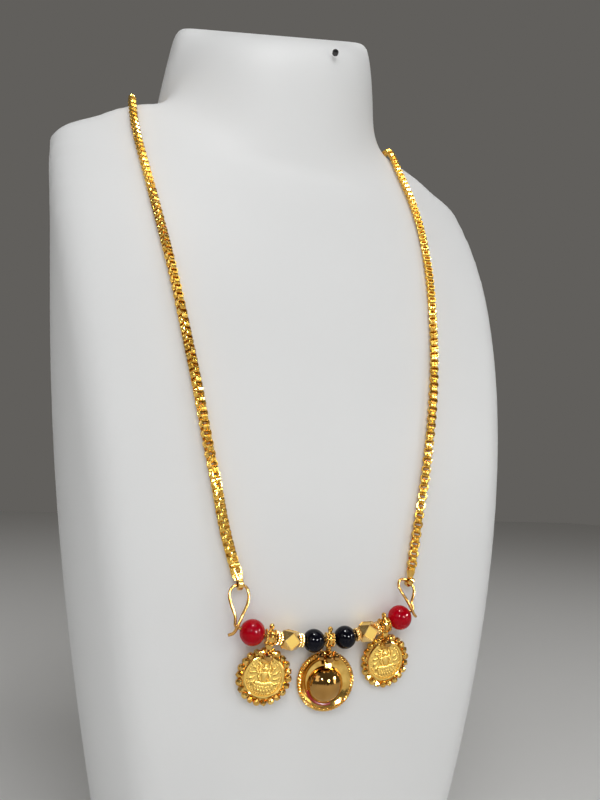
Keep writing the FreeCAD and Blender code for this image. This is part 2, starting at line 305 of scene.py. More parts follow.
class Form:
    """A mesh under construction, in millimetres."""

    merge: float = 0.0005
    tumble: float = 1.7

    def __init__(self) -> None:
        """Start with nothing."""
        self.bm = bmesh.new()

    def add(self, maker: Callable[..., dict], **options: Any) -> list[bmesh.types.BMVert]:
        """Run a bmesh create operator and return its vertices."""
        return maker(self.bm, **options)["verts"]

    def ball(self, radius: float, at: Point, sides: int = 14, squash: Point = (1, 1, 1)) -> None:
        """Round ball, squashed along the axes where asked."""
        self.add(bmesh.ops.create_uvsphere, u_segments=sides, v_segments=max(6, sides * 2 // 3),
                 radius=radius, matrix=Matrix.Translation(at) @ Matrix.Diagonal((*squash, 1)))

    def gem(self, radius: float, at: Point, level: int, turn: float) -> None:
        """Ball cut into flat facets, turned about two axes."""
        matrix = (Matrix.Translation(at) @ Matrix.Rotation(turn, 4, "Y")
                  @ Matrix.Rotation(turn * self.tumble, 4, "X"))
        verts = self.add(bmesh.ops.create_icosphere, subdivisions=level, radius=radius,
                         matrix=matrix)
        for face in {face for vert in verts for face in vert.link_faces}:
            face.tag = True

    def granules(self, radius: float, count: int, half_step: bool,
                 spot: Callable[[float], Sequence[float]]) -> None:
        """Ring of small balls.

        Args:
            radius: Radius of one granule.
            count: Granules in the ring.
            half_step: Whether the ring is turned by half a granule.
            spot: Place of a granule for its angle round the ring.
        """
        for k in range(count):
            self.ball(radius, tuple(spot(FULL_TURN * (k + 0.5 * half_step) / count)), 8)

    def rod(self, start: Point, end: Point, start_r: float, end_r: float) -> None:
        """Round tapered rod between two points."""
        first, last = Vector(start), Vector(end)
        along = last - first
        facing = along.to_track_quat("Z", "Y").to_matrix().to_4x4()
        self.add(bmesh.ops.create_cone, cap_ends=True, segments=16, radius1=start_r,
                 radius2=end_r, depth=along.length,
                 matrix=Matrix.Translation((first + last) / 2) @ facing)

    def lathe(self, outline: Sequence[Pair], centre: Point, axis: Point, steps: int,
              closed: bool = False) -> None:
        """Spin an outline of radius and height about an axis.

        Args:
            outline: Pairs of radius and height.
            centre: Where height zero lies.
            axis: Direction of rising height.
            steps: Segments of the full turn.
            closed: Whether the last point joins the first.
        """
        verts = [self.bm.verts.new((radius, 0, height)) for radius, height in outline]
        edges = [self.bm.edges.new(pair) for pair in zip(verts, verts[1:])]
        if closed:
            edges.append(self.bm.edges.new((verts[-1], verts[0])))
        before = set(self.bm.verts) - set(verts)
        bmesh.ops.spin(self.bm, geom=verts + edges, cent=ORIGIN, axis=ALONG_Z, angle=FULL_TURN,
                       steps=steps, use_merge=True, use_duplicate=False)
        made = [vert for vert in self.bm.verts if vert not in before]
        bmesh.ops.remove_doubles(self.bm, verts=made, dist=self.merge)
        made = [vert for vert in self.bm.verts if vert not in before]
        facing = Vector(axis).to_track_quat("Z", "Y").to_matrix().to_4x4()
        bmesh.ops.transform(self.bm, matrix=Matrix.Translation(centre) @ facing, verts=made)

    def torus(self, major: float, minor: float, centre: Point, axis: Point, steps: int = 24,
              sides: int = 8) -> None:
        """Ring of round wire."""
        angles = [FULL_TURN * k / sides for k in range(sides)]
        outline = [(major + minor * math.cos(angle), minor * math.sin(angle)) for angle in angles]
        self.lathe(outline, centre, axis, steps, closed=True)

    def piece(self, name: str, material: bpy.types.Material, slot: str,
              replaces: Iterable[str] = (), matrix: Optional[Matrix] = None,
              crease: float = 35.0) -> bpy.types.Object:
        """Turn the form into a finished object.

        Args:
            name: Object name.
            material: Its finish.
            slot: Record slot for its finish; not used.
            replaces: CAD nodes that it stands for.
            matrix: Last placing, in millimetres.
            crease: Angle in degrees past which an edge is sharp.

        Returns:
            The object, in metres at the origin.
        """
        if matrix is not None:
            bmesh.ops.transform(self.bm, matrix=matrix, verts=self.bm.verts)
        bmesh.ops.scale(self.bm, vec=(MM, MM, MM), verts=self.bm.verts)
        bmesh.ops.recalc_face_normals(self.bm, faces=self.bm.faces)
        limit = math.radians(crease)
        for face in self.bm.faces:
            face.smooth = not face.tag
        for edge in self.bm.edges:
            edge.smooth = len(edge.link_faces) == 2 and edge.calc_face_angle(0.0) < limit
        mesh = bpy.data.meshes.new(name)
        self.bm.to_mesh(mesh)
        self.bm.free()
        made = bpy.data.objects.new(name, mesh)
        bpy.context.scene.collection.objects.link(made)
        mesh.materials.append(material)
        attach(made, "root")
        nodes = list(replaces)
        if nodes:
            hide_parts(*nodes)
        LOG.info("%s: %d faces", name, len(mesh.polygons))
        return made


class Finishes:
    """Every material of the necklace and the bust."""

    def __init__(self) -> None:
        """Make the materials."""
        self.chain = GoldFinish("chain_gold", (0.98, 0.66, 0.15), (0.74, 0.40, 0.05),
                                0.19, 0.00002, 1500.0).make()
        self.wire = GoldFinish("hook_wire_gold", (0.74, 0.43, 0.13), (0.50, 0.25, 0.06),
                               0.2, 0.00002).make()
        self.pendant = GoldFinish("pendant_gold", (0.92, 0.61, 0.17), (0.66, 0.36, 0.07),
                                  0.12, 0.00002).make()
        # Mirror-polished gold painted dark brown: a painted dark reflection of dim surroundings,
        # used on the thali dome and the knobs.
        self.mirror = GoldFinish("mirror_gold_painted_dark", (0.62, 0.36, 0.11), (0.40, 0.20, 0.05),
                                 0.05, 0.00006, 260.0).make()
        self.beads = GoldFinish("bead_gold", (0.98, 0.69, 0.28), (0.80, 0.49, 0.15),
                                0.17, 0.00003).make()
        self.coin = StruckFace().make()
        self.red = GlossBead("deep_red_bead", (0.40, 0.0, 0.006), (0.47, 0.0, 0.010)).make()
        self.black = GlossBead("black_bead", (0.0015, 0.0015, 0.004),
                               (0.005, 0.005, 0.011)).make()
        self.cover = BustCover().make()
        # Painted shade: the label hole's cup and rim are coloured near black for the shade inside
        # the hole.
        self.hollow = BustCover("shaded_hole_rim", (0.10, 0.10, 0.10), (0.04, 0.04, 0.04)).make()
        self.lac = LacFill().make()

    @staticmethod
    def dress(node: str, material: bpy.types.Material) -> None:
        """Give a CAD node's object a better material."""
        data = bpy.data.objects[node].data
        data.materials.clear()
        data.materials.append(material)


@dataclass(frozen=True)
class WireRow:
    """The shallow arc of wire that carries the beads."""

    middle: Point = (-1.64, -65.5, 89.96)
    arc_r: float = 78.0
    tilt: float = 3.03

    def place(self, along: float) -> Matrix:
        """Frame on the wire with X along it, in millimetres."""
        turn = along / self.arc_r
        local = Vector((self.arc_r * math.sin(turn), 0, self.arc_r * (1 - math.cos(turn))))
        tip = Matrix.Rotation(math.radians(-self.tilt), 4, "Y")
        return (Matrix.Translation(Vector(self.middle) + tip @ local) @ tip
                @ Matrix.Rotation(-turn, 4, "Y"))

    def hang(self, along: float, pitch: float, lean: float, turn: float) -> Matrix:
        """Frame of a pendant that hangs from the wire."""
        return (Matrix.Translation(self.place(along).translation)
                @ Matrix.Rotation(math.radians(lean), 4, "Y")
                @ Matrix.Rotation(math.radians(pitch), 4, "X")
                @ Matrix.Rotation(math.radians(turn), 4, "Z"))


@dataclass(frozen=True)
class BoxChain:
    """The whole chain: square band links, each turned a quarter from the last."""

    left: Sequence[Point] = (
        (-34.5, -62.3, 111.9), (-37.2, -61.4, 119.9), (-39.6, -60.7, 128.3),
        (-42.1, -59.5, 140.4), (-44.8, -57.9, 151.5), (-47.2, -55.8, 163.1),
        (-49.7, -52.9, 176.5), (-52.3, -49.7, 188.7), (-55.1, -45.3, 203.0),
        (-58.1, -39.5, 218.7), (-61.5, -32.5, 235.1), (-65.2, -23.2, 253.9),
        (-69.0, -11.3, 274.6), (-71.9, 0.1, 292.6), (-73.2, 8.5, 306.0),
        (-73.6, 17.2, 319.9), (-72.6, 28.0, 320.9), (-69.9, 43.0, 321.9),
        (-66.4, 57.0, 323.6), (-62.6, 69.0, 325.9), (-56.9, 80.8, 329.2),
        (-48.4, 92.9, 332.6), (-36.3, 104.0, 333.0), (-21.6, 111.6, 333.0),
        (-9.0, 115.2, 333.0))
    right: Sequence[Point] = (
        (31.5, -62.4, 111.9), (33.3, -61.7, 120.8), (35.2, -61.0, 129.6),
        (38.8, -59.4, 143.4), (41.7, -57.5, 156.3), (44.8, -54.8, 170.0),
        (48.2, -50.8, 186.3), (51.1, -46.3, 201.2), (54.2, -39.9, 219.3),
        (57.8, -31.1, 239.8), (61.0, -20.4, 261.0), (62.2, -12.4, 275.4),
        (62.7, -4.4, 289.2), (62.8, 7.5, 308.0), (63.1, 18.3, 325.7),
        (63.8, 28.0, 325.8), (64.8, 41.0, 325.4), (65.5, 56.5, 325.2),
        (63.8, 68.5, 326.6), (57.4, 83.8, 329.2), (47.3, 97.0, 332.6),
        (34.1, 107.1, 333.0), (21.0, 112.9, 333.0), (9.0, 115.2, 333.0))
    pitch: float = 1.8
    length: float = 3.05
    width: float = 3.5
    band: float = 2.2
    thick: float = 0.55
    bevel_rise: float = 0.6
    bevel_share: float = 0.8
    groove_half: float = 0.16
    groove_rise: float = 0.55
    corner: float = 0.8
    stations: int = 16
    turn: float = 0.42
    twist: float = 0.22
    twist_run: float = 62.0

    def centre_line(self) -> list[Vector]:
        """Points along the smooth line through the route, in millimetres."""
        route = list(self.left) + list(self.right)[::-1]
        data = bpy.data.curves.new("chain_line", "CURVE")
        data.dimensions = "3D"
        spline = data.splines.new("NURBS")
        spline.points.add(len(route) - 1)
        for knot, at in zip(spline.points, route):
            knot.co = (*at, 1.0)
        spline.order_u = 3
        spline.use_endpoint_u = True
        spline.resolution_u = 16
        carrier = bpy.data.objects.new("chain_line", data)
        mesh = bpy.data.meshes.new_from_object(carrier)
        points = [vert.co.copy() for vert in mesh.vertices]
        bpy.data.objects.remove(carrier)
        bpy.data.meshes.remove(mesh)
        return points

    def link(self) -> bpy.types.Mesh:
        """Mesh of one link in millimetres, long along Z, its band along Y."""
        half, thick, groove = self.band / 2, self.thick, self.groove_half
        side = [(half, 0), (half, self.bevel_rise * thick), (self.bevel_share * half, thick),
                (groove, thick)]
        section = ([(-across, rise) for across, rise in side]
                   + [(0, self.groove_rise * thick)] + side[::-1])
        form = Form()
        form.lathe([(1 + rise, across) for across, rise in section], ORIGIN, ALONG_Y,
                   self.stations, closed=True)
        reach_x = self.width / 2 - thick - self.corner
        reach_z = self.length / 2 - thick - self.corner
        for vert in form.bm.verts:
            share = math.atan2(vert.co.z, vert.co.x) / (FULL_TURN / self.stations)
            quarter, part = divmod(round(share - 0.5) % self.stations, self.stations // 4)
            rise = math.hypot(vert.co.x, vert.co.z) - 1
            turn = math.radians(90 * quarter + 30 * part)
            heart = math.radians(90 * quarter + 45)
            reach = self.corner + rise
            vert.co.x = math.copysign(reach_x, math.cos(heart)) + math.cos(turn) * reach
            vert.co.z = math.copysign(reach_z, math.sin(heart)) + math.sin(turn) * reach
        bmesh.ops.recalc_face_normals(form.bm, faces=form.bm.faces)
        mesh = bpy.data.meshes.new("link")
        form.bm.to_mesh(mesh)
        form.bm.free()
        return mesh

    def build(self, finishes: Finishes) -> None:
        """Lay interlocked links along the line."""
        line = self.centre_line()
        template = self.link()
        form = Form()
        total = sum((b - a).length for a, b in zip(line, line[1:]))
        count = round(total / self.pitch)
        step = total / count
        walked, target, normal, placed = 0.0, step / 2, Vector(FORWARD), 0
        for first, last in zip(line, line[1:]):
            run = (last - first).length
            tangent = (last - first).normalized()
            normal = (normal - tangent * normal.dot(tangent)).normalized()
            while target <= walked + run and placed < count:
                at = first + tangent * (target - walked)
                sway = self.turn + self.twist * math.sin(FULL_TURN * target / self.twist_run)
                spin = Matrix.Rotation(sway + placed * math.pi / 2, 3, tangent)
                across = spin @ normal
                basis = Matrix((across.cross(tangent), across, tangent)).transposed().to_4x4()
                before = len(form.bm.verts)
                form.bm.from_mesh(template)
                form.bm.verts.ensure_lookup_table()
                bmesh.ops.transform(form.bm, matrix=Matrix.Translation(at) @ basis,
                                    verts=form.bm.verts[before:])
                placed += 1
                target += step
            walked += run
        LOG.info("chain: %d links over %.1f mm", placed, total)
        form.piece("box_chain", finishes.chain, "chain_gold", ("chain_left", "chain_right"),
                   crease=40)


@dataclass(frozen=True)
class ChainEnds:
    """Tapered caps between the chain and the hooks, the left one covered in granules."""

    left_top: Point = (-34.5, -62.3, 111.9)
    left_next: Point = (-37.2, -61.4, 119.9)
    rows: Sequence[tuple[float, float, int]] = ((0.35, 1.62, 12), (0.95, 1.48, 11),
                                                (1.5, 1.3, 10), (2.0, 1.12, 9))
    granule_r: float = 0.36

    def build(self, finishes: Finishes) -> None:
        """Dress the caps and add the granules."""
        for side in Side:
            finishes.dress(f"chain_end_{side.word}", finishes.pendant)
        top = Vector(self.left_top)
        turn = (top - Vector(self.left_next)).normalized().to_track_quat("Z", "Y").to_matrix()
        form = Form()
        for drop, radius, count in self.rows:
            form.granules(self.granule_r, count, count % 2 == 1,
                          lambda angle, r=radius, d=drop: top + turn @ Vector(
                              (r * math.cos(angle), r * math.sin(angle), d)))
        form.piece("cap_granules_left", finishes.pendant, "chain_gold")


class RoundBeads:
    """Red and black beads and the wire, which keep their solids."""

    @staticmethod
    def build(finishes: Finishes) -> None:
        """Dress the beads and the wire."""
        finishes.dress("bead_wire", finishes.wire)
        for side in Side:
            finishes.dress(f"red_bead_{side.word}", finishes.red)
            finishes.dress(f"black_bead_{side.word}", finishes.black)


@dataclass(frozen=True)
class Spacer:
    """Rondelle between beads: a waisted barrel between two rows of granules."""

    along: float
    name: str
    bore_r: float = 0.8
    core_r: float = 1.75
    ridge_r: float = 2.0
    half: float = 0.82
    granules: int = 13
    granule_r: float = 0.42
    granule_ring: float = 1.8
    granule_x: float = 0.52

    def build(self, row: WireRow, finishes: Finishes) -> None:
        """Build the rondelle in place of its solid."""
        form = Form()
        core, end = self.core_r, self.half * 0.9
        form.lathe([(self.bore_r, -self.half), (core, -end), (core, -0.3), (self.ridge_r, -0.12),
                    (self.ridge_r, 0.12), (core, 0.3), (core, end), (self.bore_r, self.half)],
                   ORIGIN, ALONG_X, 26, closed=True)
        ring = self.granule_ring
        for x in (-self.granule_x, self.granule_x):
            form.granules(self.granule_r, self.granules, x > 0,
                          lambda angle, x=x: (x, ring * math.cos(angle), ring * math.sin(angle)))
        form.piece(f"{self.name}_rondelle", finishes.beads, "bead_gold", (self.name,),
                   row.place(self.along))


@dataclass(frozen=True)
class FacetedBead:
    """Bead of square and triangular facets: framed squares with a matt field."""

    side: Side
    along: float = 14.4
    across: float = 5.7
    frame_width: float = 0.34
    step_width: float = 0.08
    field_depth: float = 0.16

    def build(self, row: WireRow, finishes: Finishes) -> None:
        """Build the bead in place of its solid."""
        form = Form()
        verts = form.add(bmesh.ops.create_cube, size=self.across)
        bmesh.ops.bevel(form.bm, geom=verts, affect="VERTICES", offset=self.across / 2,
                        segments=1, profile=0.5, material=-1, offset_type="OFFSET",
                        clamp_overlap=False)
        bmesh.ops.remove_doubles(form.bm, verts=form.bm.verts, dist=0.01)
        bmesh.ops.recalc_face_normals(form.bm, faces=form.bm.faces)
        squares = [face for face in form.bm.faces
                   if max(abs(part) for part in face.normal) > 0.9]
        for thickness, depth in ((self.frame_width, 0.0), (self.step_width, -self.field_depth)):
            bmesh.ops.inset_individual(form.bm, faces=squares, thickness=thickness, depth=depth)
        for face in form.bm.faces:
            face.tag = True
        for face in squares:
            face.material_index = 1
        name = f"faceted_bead_{self.side.word}"
        made = form.piece(f"{name}_cut", finishes.beads, "bead_gold", (name,),
                          row.place(self.side.value * self.along))
        made.data.materials.append(finishes.coin)


@dataclass(frozen=True)
class Bail:
    """Spool round the wire with a strap at its waist, granulated ends, and a ball on top."""

    half: float
    tube_r: float = 1.85
    strap_half: float = 0.65
    strap_r: float = 2.3
    bore_r: float = 1.0
    lip: float = 0.3
    granules: int = 14
    granule_r: float = 0.36
    ball_r: float = 0.88

    def add_to(self, form: Form) -> None:
        """Add the bail to a pendant's form."""
        half, tube, strap, top = self.half, self.tube_r, self.strap_half, self.strap_r
        lip = tube + self.lip
        side = [(self.bore_r, half), (tube * 0.98, half), (lip, half - 0.18), (lip, half - 0.4),
                (tube, half - 0.55), (tube, strap + 0.1), (top - 0.15, strap),
                (top, strap * 0.7)]
        form.lathe([(radius, -x) for radius, x in side] + [(top - 0.12, 0)] + side[::-1],
                   ORIGIN, ALONG_X, 32, closed=True)
        for x in (-half + 0.3, half - 0.3):
            form.granules(self.granule_r, self.granules, x > 0,
                          lambda angle, x=x: (x, lip * math.cos(angle), lip * math.sin(angle)))
        form.rod((0, 0, top - 0.2), (0, 0, top + 0.6), 0.85, 0.5)
        form.torus(0.5, 0.2, (0, 0, top + 0.5), ALONG_Z, 16)
        form.ball(self.ball_r, (0, 0, top + 1.2), 16)


def oval(x: float, z: float, cx: float, cz: float, rx: float, rz: float, height: float) -> float:
    """Height of a rounded oval boss at a place on the coin."""
    reach = ((x - cx) / rx) ** 2 + ((z - cz) / rz) ** 2
    return height * math.sqrt(1 - reach) if reach < 1 else 0.0


def limb(x: float, z: float, start: Pair, end: Pair, radius: float, height: float) -> float:
    """Height of a rounded limb between two places on the coin."""
    dx, dz = end[0] - start[0], end[1] - start[1]
    along = ((x - start[0]) * dx + (z - start[1]) * dz) / (dx * dx + dz * dz)
    share = max(0.0, min(1.0, along))
    reach = math.hypot(x - start[0] - share * dx, z - start[1] - share * dz) / radius
    return height * math.sqrt(1 - reach * reach) if reach < 1 else 0.0


class CoinDesign:
    """Struck design: a calm seated figure on a lotus, with a halo and a dotted border."""

    seat_z: float = -2.35
    head_z: float = 2.75
    eye_z: float = 2.85
    halo_z: float = 2.8

    def __init__(self) -> None:
        """List the plain bosses (centre, radii, height) and limbs (ends, radius, height)."""
        self.bosses = [(k * 0.92, -3.55 + 0.07 * k * k, 0.5, 0.82, 0.34) for k in range(-3, 4)]
        self.bosses += [(k + 0.5, -4.5 + 0.09 * (k + 0.5) ** 2, 0.52, 0.6, 0.26)
                        for k in range(-3, 3)]
        self.bosses.append((0, 1.45, 1.35, 0.42, 0.42))
        self.limbs = []
        for s in (-1, 1):
            self.bosses += [(s * 1.9, -2.0, 1.15, 0.8, 0.5), (s * 2.85, 2.85, 0.42, 0.55, 0.4),
                            (s * 0.72, 2.6, 0.2, 0.36, 0.3)]
            self.limbs += [((s * 1.1, 1.45), (s * 1.9, 0.2), 0.36, 0.42),
                           ((s * 1.9, 0.2), (s * 1.35, -0.95), 0.32, 0.46),
                           ((s * 0.9, 1.5), (s * 2.3, 1.3), 0.3, 0.34),
                           ((s * 2.3, 1.3), (s * 2.75, 2.35), 0.26, 0.36)]

    def figure(self, x: float, z: float) -> float:
        """Height of the figure and its seat."""
        waist = 1.0 - 0.28 * math.exp(-((z + 0.3) / 0.6) ** 2)
        folds = 0.05 * math.sin(9 * x) * (abs(z - self.seat_z) < 0.6)
        eyes = 0.05 * (abs(abs(x) - 0.25) < 0.09 and abs(z - self.eye_z) < 0.06)
        nose = 0.04 * (abs(x) < 0.07 and 2.5 < z < self.eye_z)
        bands = 0.03 * math.sin(14 * z) * (z > 3.4 and abs(x) < 0.5)
        return max(0.0, *(oval(x, z, *boss) for boss in self.bosses),
                   *(limb(x, z, *part) for part in self.limbs),
                   oval(x, z, 0, self.seat_z, 2.7, 0.75, 0.42) + folds,
                   oval(x, z, 0, 0.25, 1.15 * waist, 1.75, 0.5),
                   oval(x, z, 0, self.head_z, 0.66, 0.86, 0.56) - eyes + nose,
                   oval(x, z, 0, 3.85, 0.58 - 0.1 * (z - 3.5), 0.72, 0.46) + bands)

    def height(self, x: float, z: float) -> float:
        """Height of the whole design at a place on the coin."""
        best = self.figure(x, z)
        radius, spread = math.hypot(x, z), math.atan2(x, z)
        halo, ray = math.hypot(x, z - self.halo_z), math.atan2(x, z - self.halo_z)
        if best < 0.15 and 1.45 < halo < 1.85 and z > 1.6:
            best = max(best, 0.22 + 0.05 * math.cos(26 * ray))
        if best < 0.1 and 1.95 < halo < 2.5 and z > 1.7:
            best = max(best, 0.12 * max(0.0, math.cos(18 * ray)))
        if best < 0.08 and 3.0 < radius < 5.1:
            flame = 0.24 * max(0.0, math.cos(15 * spread + 1.5 * radius))
            best = max(best, flame * math.sin(math.pi * (radius - 3.0) / 2.1))
        if 5.35 < radius < 5.75:
            best = max(best, 0.16 * max(0.0, math.cos(44 * spread)))
        return max(best, 0.32) if radius > 6.0 else best


@dataclass(frozen=True)
class CoinPendant:
    """Struck disc in a ring of faceted balls, hung from a soldered bail."""

    side: Side
    along: float = 21.35
    drop: float = 13.1
    pitch: float = 7.0
    lean: float = -8.2
    turn: float = 0.0
    disc_r: float = 6.6
    back_r: float = 8.25
    back_y: float = 2.2
    front_y: float = 0.8
    balls: int = 22
    ball_r: float = 1.26
    ring_r: float = 8.22
    bail_half: float = 1.8
    face_cells: int = 120
    face_share: float = 1.03

    def face(self, place: Matrix, finishes: Finishes) -> None:
        """Struck face with its relief."""
        form, design, reach = Form(), CoinDesign(), self.disc_r * self.face_share
        form.add(bmesh.ops.create_grid, x_segments=self.face_cells, y_segments=self.face_cells,
                 size=reach, matrix=Matrix.Rotation(math.pi / 2, 4, "X"))
        outside = [vert for vert in form.bm.verts if math.hypot(vert.co.x, vert.co.z) > reach]
        bmesh.ops.delete(form.bm, geom=outside, context="VERTS")
        layer = form.bm.verts.layers.float.new("relief")
        for vert in form.bm.verts:
            height = design.height(vert.co.x, vert.co.z)
            vert[layer] = height
            vert.co.y = self.front_y - height
            vert.co.z -= self.drop
        form.piece(f"coin_face_{self.side.word}", finishes.coin, "pendant_gold", (), place, 60)

    def mount(self, form: Form) -> None:
        """Post with two ridges, and the leaves round its foot."""
        Bail(self.bail_half).add_to(form)
        form.rod((0, 0.1, -1.3), (0, 0.4, -5.3), 1.5, 1.15)
        form.torus(1.42, 0.26, (0, 0.12, -2.1), (0, -0.1, 1))
        form.torus(1.3, 0.22, (0, 0.3, -3.9), (0, -0.1, 1))
        form.torus(1.3, 0.28, (0, -0.2, -5.75), ALONG_Y)
        form.ball(1.7, (0, 0.2, -7.3), 20, (1.2, 0.5, 0.7))
        for s in (-1, 1):
            form.ball(1.3, (s * 2.15, -0.05, -5.2), 16, (1.1, 0.6, 0.8))
            form.ball(0.6, (s * 3.1, 0.25, -5.3), 12)
            form.ball(0.55, (s * 1.75, 0.0, -4.1), 12)

    def build(self, row: WireRow, finishes: Finishes) -> None:
        """Build the pendant in place of its solid."""
        word = self.side.word
        place = row.hang(self.side.value * self.along, self.pitch, self.lean, self.turn)
        form, knob = Form(), Form()
        disc, back, front = self.disc_r, -self.back_y, -self.front_y
        form.lathe([(0, back), (self.back_r, back), (self.back_r, back + 0.85),
                    (disc + 0.35, front - 0.15), (disc + 0.3, front + 0.3),
                    (disc + 0.08, front + 0.42), (disc - 0.12, front + 0.25),
                    (disc - 0.12, front - 0.25), (0, front - 0.25)],
                   (0, 0, -self.drop), FORWARD, 72)
        for k in range(self.balls):
            angle = FULL_TURN * (k + 0.5) / self.balls
            at = (self.ring_r * math.sin(angle), self.front_y + 0.35,
                  -self.drop + self.ring_r * math.cos(angle))
            form.gem(self.ball_r, at, 2 if k % 2 else 1, k * 2.4)
        self.mount(form)
        # The knob is its own piece in the dark-painted mirror gold: a painted dark reflection
        # sets it off from the frame.
        knob.ball(1.5, (0, -1.5, -5.9), 22)
        knob.piece(f"coin_knob_{word}", finishes.mirror, "pendant_gold", (), place, 60)
        form.piece(f"coin_frame_{word}", finishes.pendant, "pendant_gold",
                   (f"coin_pendant_{word}",), place)
        self.face(place, finishes)


@dataclass(frozen=True)
class ThaliPendant:
    """Mirror dome in a shallow dish with a rope rim, hung from a granulated bail."""

    drop: float = 13.95
    pitch: float = 3.8
    lean: float = 1.5
    turn: float = -8.0
    rim_r: float = 9.2
    rope_r: float = 0.78
    rope_forward: float = 0.95
    strands: int = 58
    back_y: float = 2.1
    floor_thick: float = 0.6
    dome_r: float = 6.35
    dome_height: float = 4.1
    dome_low: float = 1.35
    dome_rings: int = 14
    lac_r: float = 0.48
    lac_arc: Pair = (198, 292)
    strap_size: Point = (2.5, 0.9, 4.2)
    strap_tilt: float = -20

    def rope(self, form: Form) -> None:
        """Rim twisted from two strands."""
        before = set(form.bm.verts)
        rope_y = self.back_y - self.rope_forward
        form.torus(self.rim_r, self.rope_r, (0, rope_y, -self.drop), FORWARD,
                   12 * self.strands, 12)
        for vert in form.bm.verts:
            if vert in before:
                continue
            x, z, y = vert.co.x, vert.co.z + self.drop, vert.co.y - rope_y
            ring, out = math.atan2(z, x), math.hypot(x, z) - self.rim_r
            wave = math.cos(self.strands * ring / 2 + math.atan2(y, out))
            swell = 0.48 + 0.58 * math.sqrt(abs(wave))
            out, y = out * swell, y * swell
            vert.co = Vector(((self.rim_r + out) * math.cos(ring), y + rope_y,
                              (self.rim_r + out) * math.sin(ring) - self.drop))

    def dish(self, place: Matrix, finishes: Finishes) -> None:
        """Shallow dish with its rope rim."""
        back, floor = -self.back_y, -self.back_y + self.floor_thick
        form = Form()
        form.lathe([(0, back), (8.9, back), (9.0, back + 0.9), (8.6, back + 1.5),
                    (7.9, floor + 0.5), (6.9, floor + 0.06), (6.4, floor), (6.1, floor),
                    (0, floor)], (0, 0, -self.drop), FORWARD, 96)
        self.rope(form)
        form.piece("thali_dish", finishes.pendant, "pendant_gold", (), place)

    def dome(self, place: Matrix, finishes: Finishes) -> None:
        """Mirror dome, painted dark as a reflection of dim surroundings, and the line of lac
        under it.
        """
        floor, low = -self.back_y + self.floor_thick, -self.drop - self.dome_low
        globe = (self.dome_r ** 2 + self.dome_height ** 2) / (2 * self.dome_height)
        angles = [k * math.asin(self.dome_r / globe) / self.dome_rings
                  for k in range(self.dome_rings + 1)]
        arc = [(globe * math.sin(angle), floor + self.dome_height - globe * (1 - math.cos(angle)))
               for angle in angles]
        dome = Form()
        dome.lathe(arc + [(self.dome_r, floor - 0.2), (0, floor - 0.2)], (0, 0, low), FORWARD, 96)
        # The dome takes the dark-painted mirror gold: its dark brown is a painted reflection of
        # dim surroundings.
        dome.piece("thali_dome", finishes.mirror, "pendant_gold", (), place, 50)
        lac = Form()
        lac.torus(self.dome_r - 0.02, self.lac_r, (0, -floor - 0.3, low), FORWARD, 120)
        first, last = (math.radians(angle) for angle in self.lac_arc)
        away = [vert for vert in lac.bm.verts if not first < math.atan2(
            vert.co.z + self.drop + self.dome_low, vert.co.x) % FULL_TURN < last]
        bmesh.ops.delete(lac.bm, geom=away, context="VERTS")
        bmesh.ops.holes_fill(lac.bm, edges=lac.bm.edges)
        lac.piece("lac_line", finishes.lac, "red_bead", (), place)

    def top(self, place: Matrix, finishes: Finishes) -> None:
        """Bail, ridged post, knobs, and the strap that holds the dome."""
        form, knobs = Form(), Form()
        Bail(1.5, tube_r=1.7, strap_half=0.55).add_to(form)
        form.rod((0, 0.1, -1.4), (0, 0.3, -5.0), 0.95, 0.75)
        for drop in (2.3, 3.0, 3.7):
            form.torus(0.86, 0.2, (0, 0.2, -drop), (0, -0.08, 1), 20)
        # The knobs go in the dark-painted mirror gold: a painted dark reflection sets them off
        # from the bail.
        knobs.ball(1.5, (0, -1.7, -5.7), 22)
        for s in (-1, 1):
            knobs.ball(1.3, (s * 2.6, -1.0, -5.4), 20)
            form.torus(0.85, 0.2, (s * 2.15, 0.5, -4.85), ALONG_Y, 18)
        strap = form.add(bmesh.ops.create_cube, size=1.0,
                         matrix=Matrix.Translation((0, -0.1, -7.3))
                         @ Matrix.Rotation(math.radians(self.strap_tilt), 4, "X")
                         @ Matrix.Diagonal((*self.strap_size, 1)))
        bmesh.ops.bevel(form.bm, geom=list({edge for vert in strap for edge in vert.link_edges}),
                        affect="EDGES", offset=0.22, segments=3, profile=0.5, material=-1)
        form.piece("thali_bail", finishes.pendant, "pendant_gold", ("thali_pendant",), place)
        knobs.piece("thali_knobs", finishes.mirror, "pendant_gold", (), place, 60)

    def build(self, row: WireRow, finishes: Finishes) -> None:
        """Build the pendant in place of its solid."""
        place = row.hang(0.0, self.pitch, self.lean, self.turn)
        self.dish(place, finishes)
        self.dome(place, finishes)
        self.top(place, finishes)


